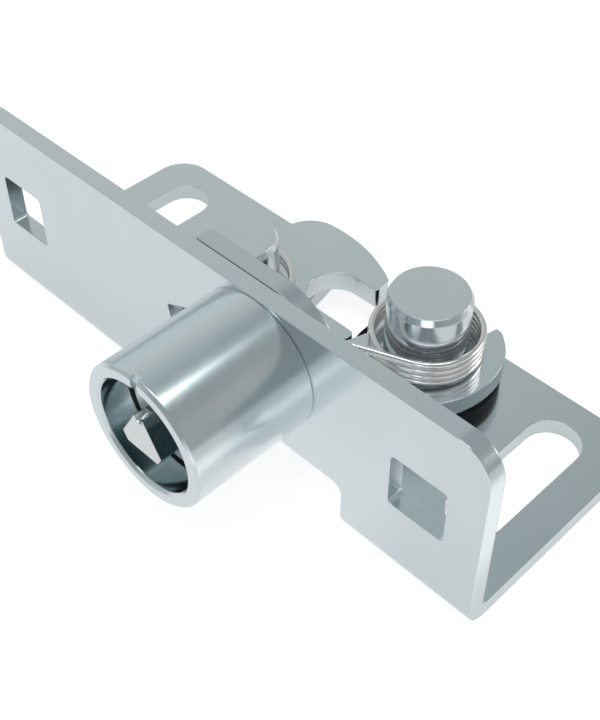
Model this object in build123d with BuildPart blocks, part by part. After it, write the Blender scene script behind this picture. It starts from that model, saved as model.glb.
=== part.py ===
from build123d import *
from math import acos, atan2, cos, degrees, hypot, pi, radians, sin, sqrt
import os

os.makedirs("parts", exist_ok=True)

# Rotary latch with a key-operated barrel: a bent bracket carries a striker claw, the pawl
# that locks it and a barrel whose cam swings the pawl.  All sizes are in millimetres.

# Bracket, one bent sheet: an upright front plate and a flat base behind it
sheet = 3.0
bend_radius = 1.0
bracket_length = 114.0
bracket_depth = 45.6
corner_radius = 6.0
fixing_margin = 11.5
square_hole = 10.3
square_hole_height = 20.4
base_slot_width = 9.7
base_slot_length = 29.4
base_slot_margin = 5.2
hole_corner = 0.8
relief_width = 35.6
relief_height = 10.7
relief_depth = 8.0
relief_corner = 2.0
notch_half_width = 5.4
notch_start = 26.0
notch_flare_angle = 12.7
notch_corner = 3.0

# Lock barrel, standing out from the front plate
axis_offset = 13.6
axis_height = 25.6
barrel_radius = 11.9
barrel_reach = 22.3
bore_radius = 9.4
rim_radius = 1.3
shoulder = 1.4
shoulder_chamfer = 0.2
barrel_floor = 6.0
top_margin = 0.1
index_width = 1.8
index_depth = 1.2

# Plug that the key turns
running_gap = 0.05
plug_recess = 5.8
dust_ring_width = 0.8
dust_ring_height = 1.4
dust_ring_setback = 0.2
post_side = 2.9
post_corner = 4.25
post_mark_depth = 0.9
post_mark_width = 1.4
ring_wire = 1.1
ring_setback = 4.0
bush_wall = 1.5
shank_radius = 5.0
drive_square = 7.0
screw_radius = 2.0
screw_length = 8.0
screw_head = 4.0
screw_head_height = 2.4
washer_radius = 6.8
washer_thickness = 1.2
lock_washer_radius = 3.9
lock_washer_thickness = 0.9

# Cam behind the front plate, with its stop tab in the curved slot
cam_gap = 0.2
cam_thickness = 3.0
lobe_radius = 20.0
lobe_end_angle = 199.0
tongue_left = 3.0
tongue_right = 2.0
tongue_lift = 0.6
cam_corner = 1.0
cam_root_corner = 3.0
lobe_corner = 2.0
key_travel_angle = 22.0
tab_start_angle = 188.2
tab_span_angle = 7.8
tab_inner = 16.2
tab_outer = 18.2
tab_recess = 0.6
stop_gap_angle = 1.0
slot_inner = 15.8
slot_outer = 20.8
slot_outer_angle = 186.7
slot_inner_angle = 180.6

# Levers on their pivots
lever_thickness = 4.0
lever_washer = 2.6
pivot_gap = 0.1
claw_x = -12.7
claw_y = 20.3
pawl_x = 20.3
pawl_y = 32.4
pin_radius = 7.15
pin_height = 12.3
pin_chamfer_width = 0.55
pin_chamfer_height = 0.9
pin_shank = 4.0
rivet_flare = 1.0
bush_radius = 5.0
claw_washer_radius = 10.0
pawl_washer_radius = 13.2

# Claw, which closes round the striker
striker_y = 31.8
striker_slot = 5.3
jaw_end = 5.0
jaw_lean = 0.1
claw_back_x = -10.8
claw_back_y = 15.3
claw_back_radius = 29.7
claw_side_x = -18.6
claw_side_y = 41.4
claw_corner = 6.5
arm_reach = 9.4
arm_thickness = 2.2

# Pawl, whose nose holds the claw's tooth
nose_reach = 22.0
nose_gap = 0.65
lock_gap = 1.0
nose_start_angle = 7.8
nose_end_angle = 19.6
tooth_root_angle = 3.9
tooth_corner_angle = 13.2
pawl_radius = 10.3
bulge_radius = 15.2
bulge_angle = 34.8
bulge_back = 2.4
bulge_up = 0.6
bulge_corner = 12.0
heel_angle = 204.5
heel_corner = 1.0
tail_width = 5.0
tail_gap = 0.4
tail_corner = 0.8
tail_inner_y = 16.5
tail_inner_corner = 2.5
tail_outer_y = 14.0
tail_outer_corner = 3.0
horn_x = 6.9
horn_y = 12.0
horn_width = 1.2
horn_root_x = 5.0
horn_root_y = 8.0
horn_corner = 2.2
horn_edge = 0.35

# Lever springs
spring_wire = 1.2
spring_radius = 9.3
spring_pitch = 1.25
wire_sides = 8
hook_bend = 0.7
hook_length = 2.6
claw_lift = 0.9
pawl_lift = 0.7
claw_whole_turns = 2
pawl_whole_turns = 3
claw_leg = 13.5
pawl_leg = 51.0
claw_leg_angle = 225.0
pawl_leg_angle = 293.0
hook_angle = 135.0

# Sizes that follow from the ones above
cam_hub = barrel_radius + top_margin
bracket_height = axis_height + cam_hub
fixing_x = bracket_length / 2 - fixing_margin
spigot_radius = barrel_radius - shoulder
cam_front = sheet + cam_gap
cam_back = cam_front + cam_thickness
plug_face = plug_recess - barrel_reach
floor_front = sheet - barrel_floor
plug_radius = bore_radius - running_gap
plug_step = plug_face + dust_ring_height
ring_y = plug_step + ring_setback
lever_bottom = sheet + lever_washer
lever_top = lever_bottom + lever_thickness
pin_seat = lever_top + pivot_gap
tail_tip = cam_front + cam_gap
tail_x = axis_offset + tongue_right + tail_gap
tab_end_angle = tab_start_angle + tab_span_angle
arm_top = striker_y - striker_slot
arm_lower = arm_top - arm_thickness
screw_seat = cam_back + washer_thickness + lock_washer_thickness
claw_turns = claw_whole_turns + (claw_leg_angle - hook_angle) / 360
pawl_turns = pawl_whole_turns + (hook_angle - pawl_leg_angle + 360) / 360


def polar(centre_x, centre_y, radius, angle):
    """Point at a radius and an angle in degrees from a centre."""
    return (centre_x + radius * cos(radians(angle)), centre_y + radius * sin(radians(angle)))


def hook_place(x, y, hand):
    """Point in a lever where its spring's hook goes in."""
    back = degrees(atan2(hook_bend, spring_radius))
    return polar(x, y, hypot(spring_radius, hook_bend), hook_angle - hand * back)


def plan(height):
    """Level plane above the base's underside: X from the bracket's middle, Y from its front."""
    return Plane(origin=(-axis_offset, 0, height - axis_height))


def elevation(depth):
    """Upright plane facing forwards: X from the bracket's middle, Y up from the underside."""
    return Plane(origin=(-axis_offset, depth, -axis_height), x_dir=(1, 0, 0), z_dir=(0, -1, 0))


def lock_plane(depth):
    """Upright plane facing forwards and centred on the barrel's axis."""
    return Plane(origin=(0, depth, 0), x_dir=(1, 0, 0), z_dir=(0, -1, 0))


def pivot_section(x, y):
    """Upright plane through a lever's pivot: X is the radius, Y the height."""
    return Plane(origin=(x - axis_offset, y, -axis_height), x_dir=(1, 0, 0), z_dir=(0, -1, 0))


def pivot_axis(x, y):
    """Upright axis of a lever's pivot."""
    return Axis((x - axis_offset, y, -axis_height), (0, 0, 1))


# Half section through the barrel's axis: X runs forwards along the axis, Y is the radius
lock_section = Plane(origin=(0, 0, 0), x_dir=(0, -1, 0), z_dir=(1, 0, 0))
lock_axis = Axis((0, 0, 0), (0, -1, 0))

# Line from the pawl's pivot to the claw's, from which the lock's angles are measured
pivot_distance = hypot(claw_x - pawl_x, claw_y - pawl_y)
lock_line = degrees(atan2(claw_y - pawl_y, claw_x - pawl_x))
face_radius = nose_reach + lock_gap
hub_squared = pivot_distance**2 + face_radius**2
hub_squared -= 2 * pivot_distance * face_radius * cos(radians(tooth_corner_angle))
claw_hub = sqrt(hub_squared)


# Bracket: the bent profile is drawn end on and drawn out to the full length
with BuildPart() as bracket:
    end_plane = Plane(
        origin=(-axis_offset - bracket_length / 2, 0, -axis_height), x_dir=(0, 1, 0), z_dir=(1, 0, 0)
    )
    with BuildSketch(end_plane):
        with BuildLine():
            Polyline(
                (0, 0),
                (bracket_depth, 0),
                (bracket_depth, sheet),
                (sheet, sheet),
                (sheet, bracket_height),
                (0, bracket_height),
                close=True,
            )
        make_face()
        fillet(vertices().sort_by_distance((sheet, sheet))[0], bend_radius)
        fillet(vertices().sort_by_distance((0, 0))[0], bend_radius + sheet)
    extrude(amount=bracket_length)
    fillet(edges().filter_by(Axis.Y).group_by(Axis.Z)[-1], corner_radius)
    fillet(edges().filter_by(Axis.Z).group_by(Axis.Y)[-1], corner_radius)

    # Window in the bend below the barrel, which frees the cam's tongue and the pawl's tail
    with BuildSketch(elevation(sheet + bend_radius)):
        with BuildLine():
            Polyline(
                (axis_offset - relief_width / 2, -sheet),
                (axis_offset + relief_width / 2, -sheet),
                (axis_offset + relief_width / 2, relief_height),
                (axis_offset - relief_width / 2, relief_height),
                close=True,
            )
        make_face()
        fillet(vertices().group_by(Axis.Y)[-1], relief_corner)
    extrude(amount=2 * sheet + bend_radius, mode=Mode.SUBTRACT)
    with BuildSketch(plan(-sheet)):
        with BuildLine():
            Polyline(
                (axis_offset - relief_width / 2, -sheet),
                (axis_offset + relief_width / 2, -sheet),
                (axis_offset + relief_width / 2, relief_depth),
                (axis_offset - relief_width / 2, relief_depth),
                close=True,
            )
        make_face()
        fillet(vertices().group_by(Axis.Y)[-1], relief_corner)
    extrude(amount=2 * sheet + bend_radius, mode=Mode.SUBTRACT)

    # Square fixing holes in the front plate and the slots below them in the base
    with BuildSketch(elevation(2 * sheet)):
        with Locations((-fixing_x, square_hole_height), (fixing_x, square_hole_height)):
            RectangleRounded(square_hole, square_hole, hole_corner)
    extrude(amount=3 * sheet, mode=Mode.SUBTRACT)
    with BuildSketch(plan(-sheet)):
        slot_middle = bracket_depth - base_slot_margin - base_slot_length / 2
        with Locations((-fixing_x, slot_middle), (fixing_x, slot_middle)):
            SlotOverall(base_slot_length, base_slot_width, rotation=90)
    extrude(amount=3 * sheet, mode=Mode.SUBTRACT)

    # Mouth for the striker, flaring towards the back edge
    with BuildSketch(plan(-sheet)):
        mouth_run = bracket_depth + sheet - notch_start
        mouth_width = notch_half_width + mouth_run * sin(radians(notch_flare_angle))
        with BuildLine():
            Polyline(
                (-notch_half_width, notch_start),
                (notch_half_width, notch_start),
                (mouth_width, notch_start + mouth_run),
                (-mouth_width, notch_start + mouth_run),
                close=True,
            )
        make_face()
        fillet(vertices().group_by(Axis.Y)[0], notch_corner)
    extrude(amount=3 * sheet, mode=Mode.SUBTRACT)

    # Seat of the barrel's spigot and the curved slot that limits the cam
    with BuildSketch(lock_plane(2 * sheet)):
        Circle(spigot_radius + running_gap)
        with BuildLine():
            slot_end_angle = tab_end_angle + key_travel_angle + stop_gap_angle
            outer = CenterArc((0, 0), slot_outer, slot_outer_angle, slot_end_angle - slot_outer_angle)
            inner = CenterArc((0, 0), slot_inner, slot_inner_angle, slot_end_angle - slot_inner_angle)
            Line(outer @ 0, inner @ 0)
            Line(outer @ 1, inner @ 1)
        make_face()
    extrude(amount=3 * sheet, mode=Mode.SUBTRACT)

    # Countersunk holes for the riveted ends of the two pivots
    for x, y in ((claw_x, claw_y), (pawl_x, pawl_y)):
        with BuildSketch(pivot_section(x, y)):
            with BuildLine():
                Polyline(
                    (0, -sheet),
                    (pin_shank + rivet_flare + running_gap, -sheet),
                    (pin_shank + rivet_flare + running_gap, 0),
                    (pin_shank + running_gap, rivet_flare),
                    (pin_shank + running_gap, 2 * sheet),
                    (0, 2 * sheet),
                    close=True,
                )
            make_face()
        revolve(axis=pivot_axis(x, y), mode=Mode.SUBTRACT)
bracket.part.label = "bracket"
export_step(bracket.part, "parts/bracket.step")


# Barrel: one turned section, with a spigot through the plate and a floor behind the plug
with BuildPart() as barrel:
    with BuildSketch(lock_section):
        with BuildLine():
            Polyline(
                (-sheet, shank_radius + running_gap + bush_wall),
                (-sheet, spigot_radius),
                (0, spigot_radius),
                (0, barrel_radius - shoulder_chamfer),
                (shoulder_chamfer, barrel_radius),
                (barrel_reach, barrel_radius),
                (barrel_reach, bore_radius),
                (-floor_front, bore_radius),
                (-floor_front, shank_radius + running_gap + bush_wall),
                close=True,
            )
        make_face()
        fillet(vertices().sort_by_distance((barrel_reach, barrel_radius))[0], rim_radius)
    revolve(axis=lock_axis)
    # Index mark: a vee across the top of the rim
    with BuildSketch(Plane.XY.offset(bore_radius - index_depth)):
        with BuildLine():
            Polyline(
                (-index_width / 2, -barrel_reach),
                (index_width / 2, -barrel_reach),
                (0, index_depth - barrel_reach),
                close=True,
            )
        make_face()
    extrude(amount=barrel_radius, mode=Mode.SUBTRACT)
barrel.part.label = "barrel"
export_step(barrel.part, "parts/barrel.step")


# Bush in the barrel's floor, round the plug's shank
with BuildPart() as plug_bush:
    with BuildSketch(lock_plane(sheet)):
        Circle(shank_radius + bush_wall)
        Circle(shank_radius + running_gap, mode=Mode.SUBTRACT)
    extrude(amount=barrel_floor)
plug_bush.part.label = "plug_bush"
export_step(plug_bush.part, "parts/plug_bush.step")


# Key plug: a turned body with a three-sided post in front and a square drive behind
with BuildPart() as key_plug:
    with BuildSketch(lock_section):
        with BuildLine():
            Polyline(
                (-cam_front, 0),
                (-cam_front, shank_radius),
                (pivot_gap - floor_front, shank_radius),
                (pivot_gap - floor_front, plug_radius),
                (-plug_step, plug_radius),
                (-plug_step, bore_radius - dust_ring_width),
                (-plug_face, bore_radius - dust_ring_width),
                (-plug_face, 0),
                close=True,
            )
        make_face()
        with Locations((-ring_y, plug_radius)):
            Rectangle(ring_wire + 4 * running_gap, 2 * ring_wire, mode=Mode.SUBTRACT)
    revolve(axis=lock_axis)
    # Post: a triangle with its point up and its corners cut flat, with a mark at its top
    with BuildSketch(lock_plane(plug_face)):
        RegularPolygon(2 * post_side, 3, rotation=90)
        RegularPolygon(2 * post_corner, 3, rotation=-90, mode=Mode.INTERSECT)
    extrude(amount=plug_recess)
    with BuildSketch(Plane.XY.offset(post_corner - post_mark_depth)):
        with BuildLine():
            Polyline(
                (-post_mark_width / 2, -barrel_reach),
                (post_mark_width / 2, -barrel_reach),
                (0, post_mark_depth - barrel_reach),
                close=True,
            )
        make_face()
    extrude(amount=2 * post_mark_depth, mode=Mode.SUBTRACT)
    # Square drive, a little shorter than the cam is thick, and its screw hole
    with BuildSketch(lock_plane(cam_back - pivot_gap)):
        Rectangle(drive_square, drive_square)
    extrude(amount=cam_thickness - pivot_gap)
    with BuildSketch(lock_plane(cam_back)):
        Circle(screw_radius + running_gap)
    extrude(amount=screw_length + screw_radius, mode=Mode.SUBTRACT)
key_plug.part.label = "key_plug"
export_step(key_plug.part, "parts/key_plug.step")


# Dust ring round the plug's face
with BuildPart() as dust_ring:
    with BuildSketch(lock_plane(plug_step)):
        Circle(plug_radius)
        Circle(bore_radius - dust_ring_width + running_gap / 2, mode=Mode.SUBTRACT)
    extrude(amount=dust_ring_height - dust_ring_setback)
dust_ring.part.label = "dust_ring"
export_step(dust_ring.part, "parts/dust_ring.step")


# Sealing ring in the plug's groove
with BuildPart() as plug_o_ring:
    with BuildSketch(lock_section):
        with Locations((-ring_y, plug_radius - ring_wire / 2)):
            RectangleRounded(ring_wire, ring_wire, ring_wire / 4)
    revolve(axis=lock_axis)
plug_o_ring.part.label = "plug_o_ring"
export_step(plug_o_ring.part, "parts/plug_o_ring.step")


# Cam: hub, flat-topped lobe, stop tab and the tongue that pushes the pawl's tail
with BuildPart() as cam:
    lobe_top = bracket_height - axis_height
    lobe_start_angle = 180 - degrees(atan2(lobe_top, sqrt(lobe_radius**2 - lobe_top**2)))
    tongue_end = lever_bottom + tongue_lift - axis_height
    with BuildSketch(lock_plane(cam_back)):
        Circle(cam_hub)
        with BuildLine():
            rim = CenterArc((0, 0), lobe_radius, lobe_start_angle, lobe_end_angle - lobe_start_angle)
            Polyline(rim @ 1, (0, 0), (0, lobe_top), rim @ 0)
        make_face()
        with BuildLine():
            Polyline(
                (-tongue_left, 0),
                (-tongue_left, tongue_end),
                (tongue_right, tongue_end),
                (tongue_right, 0),
                close=True,
            )
        make_face()
        fillet(vertices().group_by(Axis.Y)[0], cam_corner)
        root_left = (-tongue_left, -sqrt(cam_hub**2 - tongue_left**2))
        root_right = (tongue_right, -sqrt(cam_hub**2 - tongue_right**2))
        fillet(vertices().sort_by_distance(root_left)[0], cam_root_corner)
        fillet(vertices().sort_by_distance(root_right)[0], cam_root_corner)
        fillet(vertices().sort_by_distance(rim @ 1)[0], lobe_corner)
        Rectangle(drive_square + 2 * running_gap, drive_square + 2 * running_gap, mode=Mode.SUBTRACT)
    extrude(amount=cam_thickness)
    with BuildSketch(lock_plane(cam_front)):
        with BuildLine():
            outer = CenterArc((0, 0), tab_outer, tab_start_angle, tab_span_angle)
            inner = CenterArc((0, 0), tab_inner, tab_start_angle, tab_span_angle)
            Line(outer @ 0, inner @ 0)
            Line(outer @ 1, inner @ 1)
        make_face()
    extrude(amount=cam_front - tab_recess)
cam.part.label = "cam"
export_step(cam.part, "parts/cam.step")


# Plain washer, spring washer and screw that hold the cam on the plug
with BuildPart() as cam_washer:
    with BuildSketch(lock_plane(cam_back + washer_thickness)):
        Circle(washer_radius)
        Circle(screw_radius + 2 * running_gap, mode=Mode.SUBTRACT)
    extrude(amount=washer_thickness)
cam_washer.part.label = "cam_washer"
export_step(cam_washer.part, "parts/cam_washer.step")

with BuildPart() as cam_lock_washer:
    with BuildSketch(lock_plane(screw_seat)):
        Circle(lock_washer_radius)
        Circle(screw_radius + 2 * running_gap, mode=Mode.SUBTRACT)
        with Locations((lock_washer_radius, 0)):
            Rectangle(2 * lock_washer_radius, lock_washer_thickness / 2, mode=Mode.SUBTRACT)
    extrude(amount=lock_washer_thickness)
cam_lock_washer.part.label = "cam_lock_washer"
export_step(cam_lock_washer.part, "parts/cam_lock_washer.step")

with BuildPart() as cam_screw:
    with BuildSketch(lock_plane(screw_seat + screw_head_height)):
        RegularPolygon(screw_head, 6)
    extrude(amount=screw_head_height)
    with BuildSketch(lock_plane(screw_seat)):
        Circle(screw_radius)
    extrude(amount=screw_length)
    chamfer(faces().sort_by(Axis.Y)[-1].edges(), screw_head_height / 8)
cam_screw.part.label = "cam_screw"
export_step(cam_screw.part, "parts/cam_screw.step")


# Claw: a hub, a curved back and a slot that closes round the striker
with BuildPart() as claw:
    side_distance = hypot(claw_side_x - claw_x, claw_side_y - claw_y)
    side_angle = degrees(atan2(claw_side_y - claw_y, claw_side_x - claw_x))
    side_foot = polar(claw_x, claw_y, claw_hub, side_angle + degrees(acos(claw_hub / side_distance)))
    side_lean = (claw_side_x - side_foot[0]) / (claw_side_y - side_foot[1])
    back_top = claw_back_y + claw_back_radius
    pocket = polar(pawl_x, pawl_y, face_radius, lock_line + tooth_root_angle)
    with BuildSketch(plan(lever_bottom)):
        with Locations((claw_x, claw_y)):
            Circle(claw_hub)
        with Locations((pawl_x, pawl_y)):
            Circle(face_radius, mode=Mode.SUBTRACT)
        with BuildLine():
            Polyline(
                (claw_x, claw_y),
                pocket,
                (arm_reach, arm_lower),
                (arm_reach, arm_top),
                (jaw_end, arm_top),
                (jaw_end, arm_top + 2 * striker_slot),
                (jaw_end - jaw_lean * (back_top - arm_top - 2 * striker_slot), back_top),
                (claw_side_x + side_lean * (back_top - claw_side_y), back_top),
                side_foot,
                close=True,
            )
        make_face()
        with Locations((claw_back_x, claw_back_y)):
            Circle(claw_back_radius, mode=Mode.INTERSECT)
        with Locations((0, striker_y)):
            Circle(striker_slot, mode=Mode.SUBTRACT)
        with Locations((arm_reach, striker_y)):
            Rectangle(2 * arm_reach, 2 * striker_slot, mode=Mode.SUBTRACT)
        fillet(vertices().group_by(Axis.X)[-1], arm_thickness * 0.45)
        back_left = (claw_side_x, back_top)
        fillet(vertices().sort_by_distance(back_left)[0], claw_corner)
        fillet(vertices().sort_by_distance((jaw_end, arm_top + 2 * striker_slot))[0], arm_thickness / 3)
        fillet(vertices().sort_by_distance((jaw_end, back_top))[0], arm_thickness / 3)
        with Locations((claw_x, claw_y)):
            Circle(bush_radius + running_gap, mode=Mode.SUBTRACT)
        with Locations(hook_place(claw_x, claw_y, 1)):
            Circle(spring_wire / 2 + pivot_gap, mode=Mode.SUBTRACT)
    extrude(amount=lever_thickness)
claw.part.label = "claw"
export_step(claw.part, "parts/claw.step")


# Pawl: a round body with a nose for the claw, a tail for the cam and a horn at the back
with BuildPart() as pawl:
    with BuildSketch(plan(lever_bottom)):
        with Locations((pawl_x, pawl_y)):
            Circle(pawl_radius)
        bulge_middle = (pawl_x - bulge_back, pawl_y + bulge_up)
        horn_tip = (pawl_x + horn_x, pawl_y + horn_y)
        with BuildLine():
            bulge = CenterArc(bulge_middle, bulge_radius, -bulge_angle, 2 * bulge_angle)
            Polyline(
                bulge @ 1,
                horn_tip,
                (pawl_x + horn_x - horn_width, pawl_y + horn_y),
                (pawl_x + horn_root_x, pawl_y + horn_root_y),
                (pawl_x, pawl_y),
                bulge @ 0,
            )
        make_face()
        with BuildLine():
            nose_span = nose_end_angle - nose_start_angle
            nose = CenterArc((pawl_x, pawl_y), nose_reach, lock_line + nose_start_angle, nose_span)
            Polyline(
                nose @ 1,
                (tail_x, tail_inner_y),
                (tail_x, tail_tip),
                (tail_x + tail_width, tail_tip),
                (tail_x + tail_width, tail_outer_y),
                bulge @ 0,
                (pawl_x, pawl_y),
                polar(pawl_x, pawl_y, pawl_radius, heel_angle),
                (arm_reach + pivot_gap, arm_lower - nose_gap),
                nose @ 0,
            )
        make_face()
        tail_outer = (tail_x + tail_width, tail_outer_y)
        fillet(vertices().group_by(Axis.Y)[0], tail_corner)
        fillet(vertices().sort_by_distance((tail_x, tail_inner_y))[0], tail_inner_corner)
        fillet(vertices().sort_by_distance(tail_outer)[0], tail_outer_corner)
        fillet(vertices().sort_by_distance(bulge @ 1)[0], bulge_corner)
        fillet(vertices().sort_by_distance(horn_tip)[0], horn_corner)
        horn_inside = (pawl_x + horn_x - horn_width, pawl_y + horn_y)
        fillet(vertices().sort_by_distance(horn_inside)[0], horn_edge)
        fillet(vertices().sort_by_distance((arm_reach, arm_lower - nose_gap))[0], heel_corner)
        with Locations((pawl_x, pawl_y)):
            Circle(bush_radius + running_gap, mode=Mode.SUBTRACT)
        with Locations(hook_place(pawl_x, pawl_y, -1)):
            Circle(spring_wire / 2 + pivot_gap, mode=Mode.SUBTRACT)
    extrude(amount=lever_thickness)
pawl.part.label = "pawl"
export_step(pawl.part, "parts/pawl.step")


def pin_outline():
    """Half section of a pivot pin: a thick head, a shank and a riveted end flush below."""
    with BuildLine() as outline:
        Polyline(
            (0, 0),
            (pin_shank + rivet_flare, 0),
            (pin_shank, rivet_flare),
            (pin_shank, pin_seat),
            (pin_radius, pin_seat),
            (pin_radius, pin_seat + pin_height - pin_chamfer_height),
            (pin_radius - pin_chamfer_width, pin_seat + pin_height),
            (0, pin_seat + pin_height),
            close=True,
        )
    return outline.line


with BuildPart() as claw_pin:
    with BuildSketch(pivot_section(claw_x, claw_y)):
        make_face(pin_outline())
    revolve(axis=pivot_axis(claw_x, claw_y))
claw_pin.part.label = "claw_pin"
export_step(claw_pin.part, "parts/claw_pin.step")

with BuildPart() as pawl_pin:
    with BuildSketch(pivot_section(pawl_x, pawl_y)):
        make_face(pin_outline())
    revolve(axis=pivot_axis(pawl_x, pawl_y))
pawl_pin.part.label = "pawl_pin"
export_step(pawl_pin.part, "parts/pawl_pin.step")


# Bushes on which the levers turn, clamped between the base and the pins' heads
with BuildPart() as claw_bush:
    with BuildSketch(plan(sheet)):
        with Locations((claw_x, claw_y)):
            Circle(bush_radius)
            Circle(pin_shank + running_gap, mode=Mode.SUBTRACT)
    extrude(amount=pin_seat - sheet)
claw_bush.part.label = "claw_bush"
export_step(claw_bush.part, "parts/claw_bush.step")

with BuildPart() as pawl_bush:
    with BuildSketch(plan(sheet)):
        with Locations((pawl_x, pawl_y)):
            Circle(bush_radius)
            Circle(pin_shank + running_gap, mode=Mode.SUBTRACT)
    extrude(amount=pin_seat - sheet)
pawl_bush.part.label = "pawl_bush"
export_step(pawl_bush.part, "parts/pawl_bush.step")


# Washers between the base and the levers
with BuildPart() as claw_washer:
    with BuildSketch(plan(sheet)):
        with Locations((claw_x, claw_y)):
            Circle(claw_washer_radius)
            Circle(bush_radius + running_gap, mode=Mode.SUBTRACT)
    extrude(amount=lever_washer)
claw_washer.part.label = "claw_washer"
export_step(claw_washer.part, "parts/claw_washer.step")

with BuildPart() as pawl_washer:
    with BuildSketch(plan(sheet)):
        with Locations((pawl_x, pawl_y)):
            Circle(pawl_washer_radius)
            Circle(bush_radius + running_gap, mode=Mode.SUBTRACT)
    extrude(amount=lever_washer)
pawl_washer.part.label = "pawl_washer"
export_step(pawl_washer.part, "parts/pawl_washer.step")


def spring_path(x, y, lift, turns, hand, leg):
    """Middle line of a lever spring: a hook up out of the lever, the coil and a straight leg.

    It is drawn with the coil's start on the X side and then turned to the hook's angle.
    """
    rise = spring_pitch / (2 * pi)
    slant = hypot(spring_radius, rise)
    along = hand * spring_radius / slant
    up = rise / slant
    bend_y = hook_bend * hand * up
    bend_z = -hook_bend * abs(along)
    foot_y = bend_y - hand * hook_bend
    middle = Vector(0, -hand - hand * up, abs(along)).normalized() * hook_bend
    turn = hand * 2 * pi * turns
    end = Vector(spring_radius * cos(turn), spring_radius * sin(turn), spring_pitch * turns)
    run = Vector(-along * sin(turn), along * cos(turn), up)
    plane = Plane(origin=(x - axis_offset, y, lever_top + lift - axis_height))
    with BuildLine(plane) as path:
        Line((spring_radius, foot_y, bend_z - hook_length), (spring_radius, foot_y, bend_z))
        ThreePointArc(
            (spring_radius, foot_y, bend_z),
            (spring_radius, bend_y + middle.Y, bend_z + middle.Z),
            (spring_radius, 0, 0),
        )
        Helix(spring_pitch, spring_pitch * turns, spring_radius, lefthand=hand < 0)
        Line(tuple(end), tuple(end + run * leg))
    return path.line.rotate(Axis(plane.origin, plane.z_dir), hook_angle)


# Close-wound springs round the pins: one end is hooked down into the lever, the other
# runs off as a long leg and bears on the back of the front plate
with BuildPart() as claw_spring:
    claw_wire = spring_path(claw_x, claw_y, claw_lift, claw_turns, 1, claw_leg)
    with BuildSketch(Plane(origin=claw_wire @ 0, z_dir=claw_wire % 0)):
        RegularPolygon(spring_wire / 2, wire_sides)
    sweep(path=claw_wire)
claw_spring.part.label = "claw_spring"
export_step(claw_spring.part, "parts/claw_spring.step")

with BuildPart() as pawl_spring:
    pawl_wire = spring_path(pawl_x, pawl_y, pawl_lift, pawl_turns, -1, pawl_leg)
    with BuildSketch(Plane(origin=pawl_wire @ 0, z_dir=pawl_wire % 0)):
        RegularPolygon(spring_wire / 2, wire_sides)
    sweep(path=pawl_wire)
pawl_spring.part.label = "pawl_spring"
export_step(pawl_spring.part, "parts/pawl_spring.step")
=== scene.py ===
from math import cos, hypot, pi, radians, sin, tan

import bmesh
import bpy
from mathutils import Matrix, Vector

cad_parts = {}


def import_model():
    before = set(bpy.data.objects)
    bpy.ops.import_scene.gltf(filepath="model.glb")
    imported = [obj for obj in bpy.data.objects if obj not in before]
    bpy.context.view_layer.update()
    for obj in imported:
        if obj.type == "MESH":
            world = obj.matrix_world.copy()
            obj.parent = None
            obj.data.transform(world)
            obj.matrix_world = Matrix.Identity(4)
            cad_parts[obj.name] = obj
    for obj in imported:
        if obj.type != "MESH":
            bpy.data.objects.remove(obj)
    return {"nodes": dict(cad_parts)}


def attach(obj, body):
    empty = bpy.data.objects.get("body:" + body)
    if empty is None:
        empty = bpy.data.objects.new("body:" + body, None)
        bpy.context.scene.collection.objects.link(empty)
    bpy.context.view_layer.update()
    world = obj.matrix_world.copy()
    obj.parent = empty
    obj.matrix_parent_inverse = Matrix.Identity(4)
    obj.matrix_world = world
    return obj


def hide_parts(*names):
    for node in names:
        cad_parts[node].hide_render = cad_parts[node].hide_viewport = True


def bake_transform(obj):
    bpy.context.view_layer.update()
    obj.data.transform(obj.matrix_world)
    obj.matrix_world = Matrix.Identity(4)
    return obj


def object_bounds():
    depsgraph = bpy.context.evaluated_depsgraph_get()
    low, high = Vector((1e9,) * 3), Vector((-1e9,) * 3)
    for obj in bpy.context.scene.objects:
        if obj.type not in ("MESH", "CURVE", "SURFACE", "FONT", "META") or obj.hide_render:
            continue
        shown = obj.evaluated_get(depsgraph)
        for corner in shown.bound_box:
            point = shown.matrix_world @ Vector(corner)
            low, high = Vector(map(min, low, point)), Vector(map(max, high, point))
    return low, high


MM = 0.001
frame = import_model()
NODES = frame["nodes"]
cad_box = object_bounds()

# Places and sizes on the latch, in millimetres from where the barrel's axis meets the plate
LEVER_TOP = -16.0
CLAW_PIVOT = (-26.3, 20.3)
PAWL_PIVOT = (6.7, 32.4)
RIM_Y = -22.3
LOCK = (0, RIM_Y, 0)
BORE_RADIUS = 9.4
PIN_TOP = -3.6

# Barrel, by distance along its axis and radius
BARREL_RADIUS = 11.9
SEAM = 0.2
MOUTH_CHAMFER = 0.5
RIM_CHAMFER = 0.5
SPIGOT_RADIUS = 10.5
BUSH_HOLE = 6.55
BARREL_FLOOR = -3.0
SHEET = 3.0
INDEX_WIDTH = 1.3
INDEX_DEPTH = 1.15

# Groove along the top of the post, cut by a bar with a round bottom that slopes up inwards
PLUG_FACE = -16.5
POST_TOP = 4.25
GROOVE_RADIUS = 0.75
GROOVE_MIDDLE = 3.9
GROOVE_LENGTH = 1.9
GROOVE_SLOPE = 16.5
GROOVE_FLARE = 0.2
GROOVE_RISE = 0.8
GROOVE_STEPS = 12

# Pivot pins, by height and radius
PIN_RADIUS = 7.15
PIN_CHAMFER_WIDTH = 0.55
PIN_CHAMFER_HEIGHT = 1.05
PIN_SEAT = -15.9
PIN_SHANK = 4.0
RIVET_FLARE = 1.0

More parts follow.
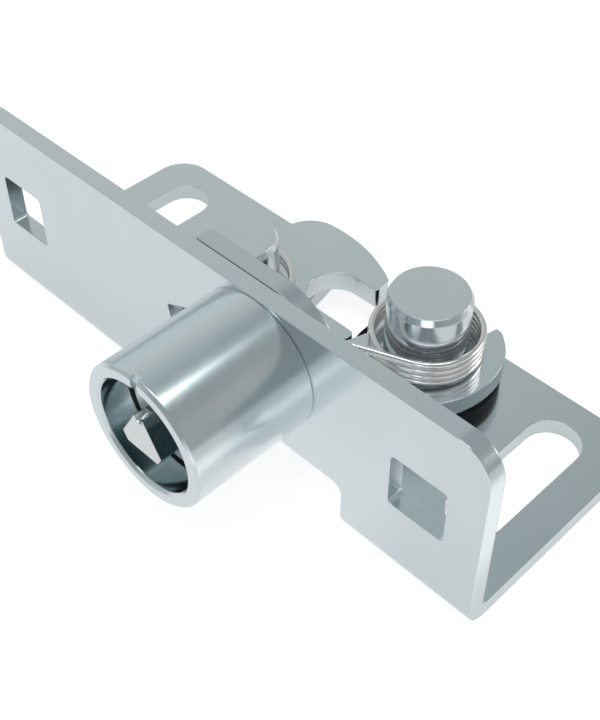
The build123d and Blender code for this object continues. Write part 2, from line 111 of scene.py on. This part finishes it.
# The two lever springs, wound from round wire
WIRE_RADIUS = 0.6
WIRE_ROUNDNESS = 4
COIL_RADIUS = 9.3
COIL_PITCH = 1.25
POINTS_PER_TURN = 72
HOOK_BEND = 0.7
HOOK_LENGTH = 2.6
HOOK_ANGLE = 135.0
HOOK_STEPS = 8
CLAW_LIFT = 0.9
CLAW_TURNS = 2
CLAW_LEG = 13.5
CLAW_LEG_ANGLE = 225.0
PAWL_LIFT = 0.7
PAWL_TURNS = 3
PAWL_LEG = 51.0
PAWL_LEG_ANGLE = 293.0

# How the meshes are made. An edge sharper than CORNER degrees stays sharp, and cutters reach
# CUTTER_MARGIN past what they cut. Points closer than JOIN_WITHIN become one, and faces
# narrower than SLIVER_WIDTH are cleared.
CORNER = 25.0
LATHE_STEPS = 192
CUTTER_MARGIN = 1.0
JOIN_WITHIN = 0.0005
SLIVER_WIDTH = 0.001

# How far off a face a point may lie and still count as on it, and how far along Y the normal
# of the groove's wall may reach
SLACK = 0.05
WALL_TURN = 0.5

# Colours
ZINC = (0.72, 0.775, 0.80)
CAM_ZINC = (0.66, 0.71, 0.73)
BARREL_PLATE = (0.76, 0.81, 0.83)
BORE_COLOUR = (0.73, 0.84, 0.86, 1.0)
PIN_STEEL = (0.74, 0.78, 0.80)
CAST_ZINC = (0.33, 0.42, 0.45)
GROUND_ZINC_AND_HIGHLIGHT = (0.76, 0.775, 0.785)
SEAT_ZINC = (0.62, 0.63, 0.64)
SCREW_STEEL = (0.76, 0.78, 0.80)
SPRING_STEEL = (0.50, 0.51, 0.53)
BRONZE = (0.72, 0.50, 0.28)
WIRE = (0.86, 0.82, 0.815)
RUBBER = (0.006, 0.006, 0.007)
PLASTIC = (0.005, 0.006, 0.007)

# Noise textures stay mostly between these two values
NOISE_LOW = 0.3
NOISE_HIGH = 0.7

# The edge mask is 0 where the rounded normal still follows the face, and 1 on the edge
EDGE_START = 0.995
EDGE_END = 0.80
EDGE_SAMPLES = 6

# The post's bright faces: how far behind the rim the ground end's finish fades out, how far below
# the groove's middle the painted highlight on the top fades in, and how much of it shows there
END_FADE = (0.02, 0.08)
TOP_HIGHLIGHT_FADE = (-1.0, -0.8)
TOP_HIGHLIGHT_SHARE = 0.85

# In the bore: how far out its finish ends, and how much smoother it is
BORE_EDGE = 0.05
BORE_SMOOTH = 0.7

# The floor's painted glow, seen only in reflections. Each row says from where to where in metres,
# and its strength at each end.
POOL = (0.008, 0.028, 0.64, 0.47)
POOL_FADE = (0.028, 0.14, 0.0, 0.28)
STRIP = (0.01, 0.05, 0.46, 0.30)
STRIP_FRONT = (-0.14, -0.06, 0.4, 1.0)
STRIP_BACK = (0.0, 0.03, 1.0, 0.6)
FIELD = (0.043, 0.05, 0.0, 0.68)
FIELD_FADE = (0.07, 0.12, 1.0, 0.4)
FLOOR_GREY = 0.50
FLOOR_SEEN = 0.74
FLOOR_HALF = 3.0

# The sky by height, from the horizon at 0 to overhead at 1
SKY_RISE = (
    (0.00, (0.44, 0.485, 0.495, 1)),
    (0.34, (0.465, 0.51, 0.515, 1)),
    (0.57, (0.46, 0.48, 0.475, 1)),
    (0.71, (0.39, 0.42, 0.42, 1)),
    (0.80, (0.35, 0.39, 0.395, 1)),
    (0.90, (0.335, 0.385, 0.395, 1)),
    (1.00, (0.31, 0.355, 0.365, 1)),
)

# What the sky is multiplied by along an axis: from, to, and the factor at each end
SKY_CHANGES = (
    ("Y", -0.90, 0.10, 0.80, 1.0),
    ("X", -0.46, -0.12, 1.28, 0.95),
    ("X", 0.15, 0.80, 1.0, 0.84),
)

# Lamps: name, place and size in metres, power in watts, colour, and whether metal mirrors it
LAMPS = (
    ("strip", (0.03, 0.04, 1.0), (0.26, 0.85), 2.2, (0.92, 1.0, 1.0), True),
    ("back_box", (0.66, 0.88, 0.30), (0.5, 0.4), 1.6, (1.0, 1.0, 1.0), True),
    ("key", (0.37, -0.44, 0.82), (0.9, 0.9), 2.5, (1.0, 1.0, 1.0), False),
)

# Camera: place in metres, turn in degrees, lens and sensor in millimetres
CAMERA_PLACE = (0.09312, -0.08378, 0.12630)
CAMERA_TURN = (44.612, 0.190, 44.872)
LENS = 59.75
SENSOR = 36.0
CLIP_START = 0.005


def scene_setup():
    """Colour handling stays plain, so that a colour renders as it is written."""
    bpy.context.scene.view_settings.view_transform = "Standard"


def shade(colour, factor=1.0):
    """A colour made lighter or darker, with its alpha."""
    return tuple(min(1.0, c * factor) for c in colour) + (1.0,)


class Nodes:
    """A node tree, with the short calls that materials and the sky share."""

    def __init__(self, tree):
        self.tree = tree

    def node(self, kind, **settings):
        made = self.tree.nodes.new(kind)
        for key, value in settings.items():
            setattr(made, key, value)
        return made

    def put(self, socket, value):
        """Set a socket to a plain value, or link it to another node's output."""
        if isinstance(value, bpy.types.NodeSocket):
            self.tree.links.new(value, socket)
        else:
            socket.default_value = value

    def axes(self, vector):
        """A vector's three parts, by the names X, Y and Z."""
        parts = self.node("ShaderNodeSeparateXYZ")
        self.put(parts.inputs[0], vector)
        return parts.outputs

    def spread(self, value, low, high, to_low, to_high, **settings):
        """A value taken from one range to another, and held at its ends."""
        made = self.node("ShaderNodeMapRange", **settings)
        for index, item in enumerate((value, low, high, to_low, to_high)):
            self.put(made.inputs[index], item)
        return made.outputs[0]

    def blend(self, factor, first, second, **settings):
        """Two colours mixed by a factor."""
        made = self.node("ShaderNodeMix", data_type="RGBA", **settings)
        self.put(made.inputs["Factor"], factor)
        self.put(made.inputs[6], first)
        self.put(made.inputs[7], second)
        return made.outputs[2]


class Shader(Nodes):
    """A material's node tree, with short calls for the nodes that the finishes share."""

    def __init__(self, name):
        self.material = bpy.data.materials.new(name)
        self.material.use_nodes = True
        super().__init__(self.material.node_tree)
        self.bsdf = next(n for n in self.tree.nodes if n.type == "BSDF_PRINCIPLED")
        self.position = self.node("ShaderNodeTexCoord").outputs["Object"]

    def math(self, operation, first, second):
        made = self.node("ShaderNodeMath", operation=operation)
        self.put(made.inputs[0], first)
        self.put(made.inputs[1], second)
        return made.outputs[0]

    def vector(self, operation, first, second=(0, 0, 0)):
        made = self.node("ShaderNodeVectorMath", operation=operation)
        self.put(made.inputs[0], first)
        self.put(made.inputs[1], second)
        return made.outputs["Value" if operation in ("LENGTH", "DOT_PRODUCT") else "Vector"]

    def vary(self, noise, to_low, to_high):
        """A noise taken to a range."""
        return self.spread(noise, NOISE_LOW, NOISE_HIGH, to_low, to_high)

    def noise(self, vector, scale, detail=2.0):
        made = self.node("ShaderNodeTexNoise")
        self.put(made.inputs["Vector"], vector)
        made.inputs["Scale"].default_value = scale
        made.inputs["Detail"].default_value = detail
        return made.outputs["Fac"]

    def line_noise(self, value, scale, detail=1.0):
        """Noise along one measured length, such as a radius: it draws rings or lines."""
        made = self.node("ShaderNodeTexNoise", noise_dimensions="1D")
        self.put(made.inputs["W"], value)
        made.inputs["Scale"].default_value = scale
        made.inputs["Detail"].default_value = detail
        return made.outputs["Fac"]

    def patches(self, cloud, colour, darkest, lightest):
        """A colour in soft patches, between two factors of itself."""
        return self.blend(cloud, shade(colour, darkest), shade(colour, lightest))

    def rub_and_highlight(self, base, edges, share, bright):
        """Edges made lighter by a share of their mask: partly wear, partly a painted highlight.
        """
        return self.blend(self.math("MULTIPLY", edges, share), base, bright)

    def round_edges(self, radius):
        """Normal with its sharp edges rounded, and a mask that is 1 on those edges."""
        bevel = self.node("ShaderNodeBevel", samples=EDGE_SAMPLES)
        bevel.inputs["Radius"].default_value = radius * MM
        true = self.node("ShaderNodeNewGeometry").outputs["Normal"]
        along = self.vector("DOT_PRODUCT", bevel.outputs["Normal"], true)
        return bevel.outputs["Normal"], self.spread(along, EDGE_START, EDGE_END, 0.0, 1.0)

    def bump(self, height, distance, strength, normal=None):
        made = self.node("ShaderNodeBump")
        made.inputs["Distance"].default_value = distance * MM
        made.inputs["Strength"].default_value = strength
        self.put(made.inputs["Height"], height)
        if normal is not None:
            self.put(made.inputs["Normal"], normal)
        return made.outputs["Normal"]

    def surface(self, colour, roughness, normal):
        """Join the finish to the shader, and return its material."""
        self.put(self.bsdf.inputs["Base Color"], colour)
        self.put(self.bsdf.inputs["Roughness"], roughness)
        self.put(self.bsdf.inputs["Normal"], normal)
        return self.material

    def metal(self, colour, roughness, normal):
        self.bsdf.inputs["Metallic"].default_value = 1.0
        return self.surface(colour, roughness, normal)


def plated(name, colour, roughness, grain=(8.0, 60.0, 60.0)):
    """Zinc-plated sheet: faint cloudy spangle, fine rolling lines, and edges made lighter, partly
    as wear and partly as a painted highlight.
    """
    s = Shader(name)
    normal, edges = s.round_edges(0.25)
    cloud = s.noise(s.position, scale=90.0, detail=4.0)
    fine = s.noise(s.vector("MULTIPLY", s.position, grain), scale=60.0, detail=3.0)
    base = s.patches(cloud, colour, 0.96, 1.04)
    # Edges lighter in colour: partly wear, partly a painted highlight along them.
    base = s.rub_and_highlight(base, edges, share=0.55, bright=shade(colour, 1.25))
    level = s.math("MULTIPLY", s.math("ADD", cloud, fine), 0.5)
    rough = s.vary(level, roughness * 0.85, roughness * 1.15)
    return s.metal(base, rough, s.bump(fine, distance=0.02, strength=0.12, normal=normal))


def turned(name, colour, roughness, centre, axis, edge=0.2, strength=0.10, bore=None):
    """Turned and polished metal: fine tool rings round the given axis, edges made lighter, partly
    as wear and partly as a painted highlight, and within a bore's radius another colour and a
    smoother face."""
    s = Shader(name)
    normal, edges = s.round_edges(edge)
    from_axis = s.vector("SUBTRACT", s.position, tuple(c * MM for c in centre))
    across = tuple(0.0 if letter == axis else 1.0 for letter in "XYZ")
    radius = s.vector("LENGTH", s.vector("MULTIPLY", from_axis, across))
    rings = s.line_noise(s.math("ADD", radius, s.axes(from_axis)[axis]), scale=9000.0)
    cloud = s.noise(s.position, scale=140.0, detail=3.0)
    base = s.patches(cloud, colour, 0.97, 1.03)
    # Edges lighter in colour: partly wear, partly a painted highlight along them.
    base = s.rub_and_highlight(base, edges, share=0.4, bright=shade(colour, 1.2))
    level = s.math("MULTIPLY", s.math("ADD", cloud, rings), 0.5)
    rough = s.vary(level, roughness * 0.8, roughness * 1.2)
    if bore:
        outside = s.spread(radius, bore * MM, (bore + BORE_EDGE) * MM, 0.0, 1.0)
        base = s.blend(outside, BORE_COLOUR, base)
        rough = s.math("MULTIPLY", rough, s.spread(outside, 0.0, 1.0, BORE_SMOOTH, 1.0))
    return s.metal(base, rough, s.bump(rings, distance=0.01, strength=strength, normal=normal))


def cast(name, colour, ground_and_highlight_colour, seat_colour, roughness):
    """Die-cast zinc with a soft grain: dark on the post's sides, ground bright on its end, with a
    painted highlight on its top and groove, paler on the plug's own face behind it, and edges
    made lighter, partly as wear and partly as a painted highlight."""
    s = Shader(name)
    normal, edges = s.round_edges(0.15)
    skin = s.noise(s.position, scale=1500.0, detail=3.0)
    cloud = s.noise(s.position, scale=200.0)
    base = s.patches(cloud, colour, 0.93, 1.07)
    # Edges lighter in colour: partly wear, partly a painted highlight along them.
    base = s.rub_and_highlight(base, edges, share=0.8, bright=shade(colour, 1.5))
    axes = s.axes(s.position)
    depth, height = axes["Y"], axes["Z"]
    end_low, end_high = ((RIM_Y + fade) * MM for fade in END_FADE)
    top_highlight_low, top_highlight_high = ((GROOVE_MIDDLE + fade) * MM for fade in TOP_HIGHLIGHT_FADE)
    face = (PLUG_FACE - SLACK) * MM
    end = s.spread(depth, end_low, end_high, 1.0, 0.0)
    # Painted highlight: the post's top and groove made lighter, fading in from below the groove's
    # middle.
    top = s.spread(height, top_highlight_low, top_highlight_high, 0.0, TOP_HIGHLIGHT_SHARE)
    top = s.math("MULTIPLY", top, s.math("LESS_THAN", depth, face))
    base = s.blend(s.math("GREATER_THAN", depth, face), base, shade(seat_colour))
    # The ground end and the painted highlight on the top share one light colour.
    base = s.blend(s.math("MAXIMUM", end, top), base, shade(ground_and_highlight_colour))
    rough = s.vary(skin, roughness * 0.85, roughness * 1.15)
    return s.metal(base, rough, s.bump(skin, distance=0.02, strength=0.15, normal=normal))


def drawn_wire(name, colour, roughness):
    """Drawn stainless wire: bright, with faint patches and draw marks."""
    s = Shader(name)
    cloud = s.noise(s.position, scale=260.0)
    marks = s.noise(s.position, scale=2600.0)
    base = s.patches(cloud, colour, 0.93, 1.07)
    rough = s.vary(marks, roughness * 0.8, roughness * 1.2)
    return s.metal(base, rough, s.bump(marks, distance=0.01, strength=0.1))


def moulded(name, colour, roughness):
    """Black rubber or plastic with a fine matt skin."""
    s = Shader(name)
    skin = s.noise(s.position, scale=1800.0)
    dust = s.noise(s.position, scale=150.0, detail=4.0)
    s.bsdf.inputs["Specular IOR Level"].default_value = 0.12
    base = s.patches(dust, colour, 0.8, 1.4)
    rough = s.vary(skin, roughness - 0.06, roughness + 0.06)
    return s.surface(base, rough, s.bump(skin, distance=0.02, strength=0.2))


def finish_mesh(shape, name):
    """Mesh from a bmesh, smooth except at its corners."""
    bmesh.ops.recalc_face_normals(shape, faces=shape.faces)
    for face in shape.faces:
        face.smooth = True
    mesh = bpy.data.meshes.new(name)
    shape.to_mesh(mesh)
    shape.free()
    mesh.set_sharp_from_angle(angle=radians(CORNER))
    return mesh


def lathe(name, outline, place, axis):
    """Turned solid: a closed outline of (distance along the axis, radius) swept round it."""
    shape = bmesh.new()
    middles = {}
    rings = []
    for step in range(LATHE_STEPS):
        turn = 2 * pi * step / LATHE_STEPS
        ring = []
        for along, radius in outline:
            vert = middles.get(along) if radius == 0 else None
            if vert is None:
                first, second = radius * cos(turn), radius * sin(turn)
                spot = (first, along, second) if axis == "Y" else (first, second, along)
                vert = shape.verts.new([(p + q) * MM for p, q in zip(place, spot)])
            if radius == 0:
                middles[along] = vert
            ring.append(vert)
        rings.append(ring)
    for step, ring in enumerate(rings):
        following = rings[(step + 1) % LATHE_STEPS]
        for index in range(len(outline)):
            after = (index + 1) % len(outline)
            around = (ring[index], ring[after], following[after], following[index])
            corners = list(dict.fromkeys(around))
            if len(corners) > 2:
                shape.faces.new(corners)
    return finish_mesh(shape, name)


def prism(name, outline, low, high, slope=0.0):
    """Cutter along Y: an outline of (x, z) between two depths, which rises inwards by a slope
    in degrees."""
    shape = bmesh.new()
    ends = []
    for depth in (low, high):
        lift = (depth - RIM_Y) * tan(radians(slope))
        ends.append([shape.verts.new((x * MM, depth * MM, (z + lift) * MM)) for x, z in outline])
    for index in range(len(outline)):
        after = (index + 1) % len(outline)
        shape.faces.new((ends[0][index], ends[0][after], ends[1][after], ends[1][index]))
    shape.faces.new(ends[0])
    shape.faces.new(list(reversed(ends[1])))
    return finish_mesh(shape, name)


def clear_slivers(mesh):
    """Dissolve the faces without area that a cut can leave."""
    shape = bmesh.new()
    shape.from_mesh(mesh)
    bmesh.ops.dissolve_degenerate(shape, dist=SLIVER_WIDTH * MM, edges=shape.edges)
    shape.to_mesh(mesh)
    shape.free()


def cut(name, mesh, cutter_mesh):
    """A mesh with another one cut out of it."""
    whole = bpy.data.objects.new(name + "_whole", mesh)
    cutter = bpy.data.objects.new(name + "_cutter", cutter_mesh)
    for made in (whole, cutter):
        bpy.context.scene.collection.objects.link(made)
    change = whole.modifiers.new("cut", "BOOLEAN")
    change.operation = "DIFFERENCE"
    change.solver = "EXACT"
    change.object = cutter
    bpy.context.view_layer.update()
    graph = bpy.context.evaluated_depsgraph_get()
    result = bpy.data.meshes.new_from_object(whole.evaluated_get(graph))
    for made in (whole, cutter):
        bpy.data.objects.remove(made)
    clear_slivers(result)
    result.set_sharp_from_angle(angle=radians(CORNER))
    return result


def place_piece(name, mesh, node, body, material):
    """Put a finished mesh in the place of a CAD node."""
    mesh.materials.clear()
    mesh.materials.append(material)
    made = bpy.data.objects.new(name, mesh)
    bpy.context.scene.collection.objects.link(made)
    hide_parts(node)
    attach(made, body)


def build_barrel(plating):
    """The barrel with its chamfered rim and the index slot at the top of it."""
    outline = (
        (SHEET, BUSH_HOLE),
        (SHEET, SPIGOT_RADIUS),
        (0.0, SPIGOT_RADIUS),
        (0.0, BARREL_RADIUS - SEAM),
        (-SEAM, BARREL_RADIUS),
        (RIM_Y + RIM_CHAMFER, BARREL_RADIUS),
        (RIM_Y, BARREL_RADIUS - RIM_CHAMFER),
        (RIM_Y, BORE_RADIUS + MOUTH_CHAMFER),
        (RIM_Y + MOUTH_CHAMFER, BORE_RADIUS),
        (BARREL_FLOOR, BORE_RADIUS),
        (BARREL_FLOOR, BUSH_HOLE),
    )
    half = INDEX_WIDTH / 2
    top = BARREL_RADIUS + CUTTER_MARGIN
    bottom = BORE_RADIUS - CUTTER_MARGIN
    slot = prism(
        "index_slot",
        ((-half, bottom), (half, bottom), (half, top), (-half, top)),
        RIM_Y - CUTTER_MARGIN,
        RIM_Y + INDEX_DEPTH,
    )
    mesh = cut("barrel", lathe("barrel_turned", outline, (0, 0, 0), "Y"), slot)
    place_piece("barrel_turned", mesh, "barrel", "frame", plating)


def groove_cutter():
    """Bar with a round bottom that cuts the groove along the top of the post."""
    wide = GROOVE_RADIUS + GROOVE_FLARE
    above = POST_TOP + GROOVE_RISE
    outline = [(-wide, above)]
    for step in range(GROOVE_STEPS + 1):
        turn = pi + pi * step / GROOVE_STEPS
        outline.append((GROOVE_RADIUS * cos(turn), GROOVE_MIDDLE + GROOVE_RADIUS * sin(turn)))
    outline.append((wide, above))
    front, back = RIM_Y - CUTTER_MARGIN, RIM_Y + GROOVE_LENGTH
    return prism("post_groove", outline, front, back, GROOVE_SLOPE)


def in_groove(face):
    """True for the groove's round wall, but not for the end of it."""
    x, y, z = face.center
    lowest = GROOVE_MIDDLE - GROOVE_RADIUS - SLACK
    within = abs(x) < GROOVE_RADIUS * MM and lowest * MM < z < POST_TOP * MM
    return within and y < PLUG_FACE * MM and abs(face.normal.y) < WALL_TURN


def build_plug(casting):
    """The key plug, flat all over except for the round groove along the top of its post."""
    shape = bmesh.new()
    shape.from_mesh(NODES["key_plug"].data)
    bmesh.ops.remove_doubles(shape, verts=shape.verts, dist=JOIN_WITHIN * MM)
    mesh = cut("key_plug", finish_mesh(shape, "plug_whole"), groove_cutter())
    for face in mesh.polygons:
        face.use_smooth = in_groove(face)
    place_piece("plug_grooved", mesh, "key_plug", "key", casting)


def build_pin(node, pivot, steel):
    """A pivot pin: its chamfered head, its shank and the riveted end."""
    bottom = cad_box[0][2] / MM
    outline = (
        (bottom, 0.0),
        (bottom, PIN_SHANK + RIVET_FLARE),
        (bottom + RIVET_FLARE, PIN_SHANK),
        (PIN_SEAT, PIN_SHANK),
        (PIN_SEAT, PIN_RADIUS),
        (PIN_TOP - PIN_CHAMFER_HEIGHT, PIN_RADIUS),
        (PIN_TOP, PIN_RADIUS - PIN_CHAMFER_WIDTH),
        (PIN_TOP, 0.0),
    )
    mesh = lathe(node + "_turned", outline, (*pivot, 0.0), "Z")
    place_piece(node + "_turned", mesh, node, "frame", steel)


def spring_points(pivot, lift, turns, hand, leg):
    """Middle line of a spring: the hook in the lever, the coil and the straight leg."""
    rise = COIL_PITCH / (2 * pi)
    slant = hypot(COIL_RADIUS, rise)
    along, up = hand * COIL_RADIUS / slant, rise / slant
    foot = Vector((COIL_RADIUS, -hand * HOOK_BEND, -HOOK_BEND))
    points = [foot + Vector((0, 0, -HOOK_LENGTH))]
    for step in range(HOOK_STEPS + 1):
        angle = step * pi / (2 * HOOK_STEPS)
        inwards = hand * HOOK_BEND * (1 - cos(angle))
        points.append(foot + Vector((0, inwards, HOOK_BEND * sin(angle))))
    count = int(POINTS_PER_TURN * turns)
    for step in range(1, count + 1):
        turn = hand * 2 * pi * turns * step / count
        height = COIL_PITCH * turns * step / count
        points.append(Vector((COIL_RADIUS * cos(turn), COIL_RADIUS * sin(turn), height)))
    turn = hand * 2 * pi * turns
    points.append(points[-1] + Vector((-along * sin(turn), along * cos(turn), up)) * leg)
    turned_back = Matrix.Rotation(radians(HOOK_ANGLE), 4, "Z")
    origin = Vector((*pivot, LEVER_TOP + lift))
    return [(origin + turned_back @ p) * MM for p in points]


def round_wire(name, points):
    """Object of round wire along a line of points."""
    curve = bpy.data.curves.new(name + "_line", "CURVE")
    curve.dimensions = "3D"
    curve.bevel_depth = WIRE_RADIUS * MM
    curve.bevel_resolution = WIRE_ROUNDNESS
    curve.use_fill_caps = True
    line = curve.splines.new("POLY")
    line.points.add(len(points) - 1)
    for point, place in zip(line.points, points):
        point.co = (*place, 1.0)
    drawn = bpy.data.objects.new(name + "_line", curve)
    made = bpy.data.objects.new(name, bpy.data.meshes.new_from_object(drawn))
    bpy.data.objects.remove(drawn)
    bpy.data.curves.remove(curve)
    bpy.context.scene.collection.objects.link(made)
    return made


def spring(name, node, body, pivot, lift, turns, hand, leg):
    """A lever's spring, in place of the solid's angular wire."""
    made = round_wire(name, spring_points(pivot, lift, turns, hand, leg))
    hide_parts(node)
    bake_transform(made)
    return made


def build_springs(wire):
    """The claw's spring winds one way and the pawl's the other."""
    claw_turns = CLAW_TURNS + (CLAW_LEG_ANGLE - HOOK_ANGLE) / 360
    pawl_turns = PAWL_TURNS + (HOOK_ANGLE - PAWL_LEG_ANGLE + 360) / 360
    claw = (CLAW_PIVOT, CLAW_LIFT, claw_turns, 1, CLAW_LEG)
    pawl = (PAWL_PIVOT, PAWL_LIFT, pawl_turns, -1, PAWL_LEG)
    for made in (
        spring("claw_spring_wire", "claw_spring", "claw", *claw),
        spring("pawl_spring_wire", "pawl_spring", "pawl", *pawl),
    ):
        made.data.materials.append(wire)


def dress(material, *names):
    """Give CAD nodes their finish."""
    for name in names:
        mesh = NODES[name].data
        if not mesh.materials:
            mesh.materials.append(None)
        for index in range(len(mesh.materials)):
            mesh.materials[index] = material


def dress_plates():
    """The bracket, the cam and the two levers."""
    dress(plated("zinc_sheet", ZINC, roughness=0.17), "bracket")
    dress(plated("zinc_cam", CAM_ZINC, roughness=0.20, grain=(60.0, 60.0, 10.0)), "cam")
    dress(plated("zinc_levers", ZINC, roughness=0.13, grain=(30.0, 60.0, 60.0)), "claw", "pawl")


def dress_barrel():
    """The barrel, turned and plated."""
    plating = turned(
        "barrel_plating", BARREL_PLATE, 0.20, LOCK, "Y", edge=0.3, strength=0.05, bore=BORE_RADIUS
    )
    build_barrel(plating)
    dress(plating, "barrel")


def dress_pins():
    """The two pivot pins, each with tool rings round its own axis."""
    for node, pivot in (("claw_pin", CLAW_PIVOT), ("pawl_pin", PAWL_PIVOT)):
        steel = turned(node + "_steel", PIN_STEEL, 0.155, (*pivot, PIN_TOP), "Z")
        dress(steel, node)
        build_pin(node, pivot, steel)


def dress_plug():
    """The key plug and the screw stack that holds the cam on it."""
    casting = cast("plug_casting", CAST_ZINC, GROUND_ZINC_AND_HIGHLIGHT, SEAT_ZINC, roughness=0.24)
    dress(casting, "key_plug")
    build_plug(casting)
    dress(turned("bright_screw", SCREW_STEEL, 0.16, LOCK, "Y"), "cam_screw", "cam_washer")
    dress(plated("spring_steel", SPRING_STEEL, roughness=0.25), "cam_lock_washer")


def dress_small():
    """The bronze bushes, the black rings and washers, and the springs."""
    bronze = turned("bush_bronze", BRONZE, 0.28, (0, 0, 0), "Z")
    dress(bronze, "claw_bush", "pawl_bush", "plug_bush")
    dress(moulded("black_rubber", RUBBER, roughness=0.55), "dust_ring", "plug_o_ring")
    dress(moulded("black_plastic", PLASTIC, roughness=0.45), "claw_washer", "pawl_washer")
    build_springs(drawn_wire("stainless_wire", WIRE, roughness=0.20))


def painted_floor_glow(s):
    """Painted light on the floor, seen only in reflections: a pool of light below the barrel that
    falls off outwards, an even strip before the front plate and a paler field on the right."""
    axes = s.axes(s.position)
    along, depth = axes["X"], axes["Y"]
    away = s.vector("LENGTH", s.position)
    pool = s.math("SUBTRACT", s.spread(away, *POOL), s.spread(away, *POOL_FADE))
    strip = s.math("MULTIPLY", s.spread(along, *STRIP), s.spread(depth, *STRIP_FRONT))
    strip = s.math("MULTIPLY", strip, s.spread(depth, *STRIP_BACK))
    field = s.math("MULTIPLY", s.spread(along, *FIELD), s.spread(along, *FIELD_FADE))
    return s.math("MAXIMUM", s.math("MAXIMUM", pool, strip), field)


def paper():
    """The floor's material: white to the camera, and in reflections a painted pool of light,
    brightest round the latch, as a table under a studio lamp would show."""
    s = Shader("paper")
    s.bsdf.inputs["Base Color"].default_value = shade((FLOOR_GREY,) * 3)
    s.bsdf.inputs["Roughness"].default_value = 0.9
    s.bsdf.inputs["Specular IOR Level"].default_value = 0.0
    s.bsdf.inputs["Emission Color"].default_value = (1.0, 1.0, 1.0, 1.0)
    rays = s.node("ShaderNodeLightPath").outputs
    mirrored = s.math("MAXIMUM", rays["Is Glossy Ray"], rays["Is Transmission Ray"])
    seen = s.math("MULTIPLY", rays["Is Camera Ray"], FLOOR_SEEN)
    # Painted glow for reflections, added to the even white the camera sees.
    glow = s.math("ADD", s.math("MULTIPLY", mirrored, painted_floor_glow(s)), seen)
    s.put(s.bsdf.inputs["Emission Strength"], glow)
    return s.material


def floor():
    """A wide pale floor that keeps the latch's soft shadows."""
    shape = bmesh.new()
    bmesh.ops.create_grid(shape, x_segments=8, y_segments=8, size=FLOOR_HALF)
    mesh = bpy.data.meshes.new("floor")
    shape.to_mesh(mesh)
    shape.free()
    mesh.materials.append(paper())
    made = bpy.data.objects.new("floor", mesh)
    made.location = (0, 0, cad_box[0][2])
    bpy.context.scene.collection.objects.link(made)


class Sky(Nodes):
    """The world's node tree."""

    def __init__(self):
        made = bpy.data.worlds.new("studio")
        made.use_nodes = True
        bpy.context.scene.world = made
        super().__init__(made.node_tree)
        self.background = next(n for n in self.tree.nodes if n.type == "BACKGROUND")
        self.toward = self.axes(self.node("ShaderNodeTexCoord").outputs["Generated"])

    def rise(self, stops):
        """Colour by height above the horizon."""
        ramp = self.node("ShaderNodeValToRGB")
        self.put(ramp.inputs[0], self.toward["Z"])
        while len(ramp.color_ramp.elements) < len(stops):
            ramp.color_ramp.elements.new(0.5)
        for element, (place, colour) in zip(ramp.color_ramp.elements, stops):
            element.position = place
            element.color = colour
        return ramp.outputs[0]

    def times(self, colour, axis, *values):
        """Multiply a colour by a factor that changes along one axis of the sky."""
        factor = self.spread(self.toward[axis], *values, interpolation_type="SMOOTHSTEP")
        return self.blend(1.0, colour, factor, blend_type="MULTIPLY")


def world():
    """Soft studio: pale sides and back, greyer overhead, dark behind the camera's side, and
    plain white where the camera sees it."""
    sky = Sky()
    colour = sky.rise(SKY_RISE)
    for change in SKY_CHANGES:
        colour = sky.times(colour, *change)
    camera_ray = sky.node("ShaderNodeLightPath").outputs["Is Camera Ray"]
    shown = sky.blend(camera_ray, colour, (1.0, 1.0, 1.0, 1.0))
    sky.put(sky.background.inputs["Color"], shown)


def softbox(name, place, size, power, colour, mirrored):
    """An area lamp that looks at the latch, seen in the metal or not."""
    lamp = bpy.data.lights.new(name, "AREA")
    lamp.shape = "RECTANGLE"
    lamp.size, lamp.size_y = size
    lamp.energy = power
    lamp.color = colour
    made = bpy.data.objects.new(name, lamp)
    made.location = place
    made.rotation_euler = (-Vector(place)).to_track_quat("-Z", "Y").to_euler()
    made.visible_glossy = mirrored
    bpy.context.scene.collection.objects.link(made)


def lights():
    """A strip overhead, a low box behind and a wide key lamp on the camera's side."""
    for lamp in LAMPS:
        softbox(*lamp)


def camera():
    """The photograph's viewpoint: high, in front and to the right."""
    lens = bpy.data.cameras.new("camera")
    lens.lens = LENS
    lens.sensor_width = SENSOR
    lens.sensor_fit = "AUTO"
    lens.clip_start = CLIP_START
    made = bpy.data.objects.new("camera", lens)
    made.location = CAMERA_PLACE
    made.rotation_euler = tuple(radians(angle) for angle in CAMERA_TURN)
    bpy.context.scene.collection.objects.link(made)
    bpy.context.scene.camera = made


scene_setup()
dress_plates()
dress_barrel()
dress_pins()
dress_plug()
dress_small()
floor()
world()
lights()
camera()

bpy.context.view_layer.update()
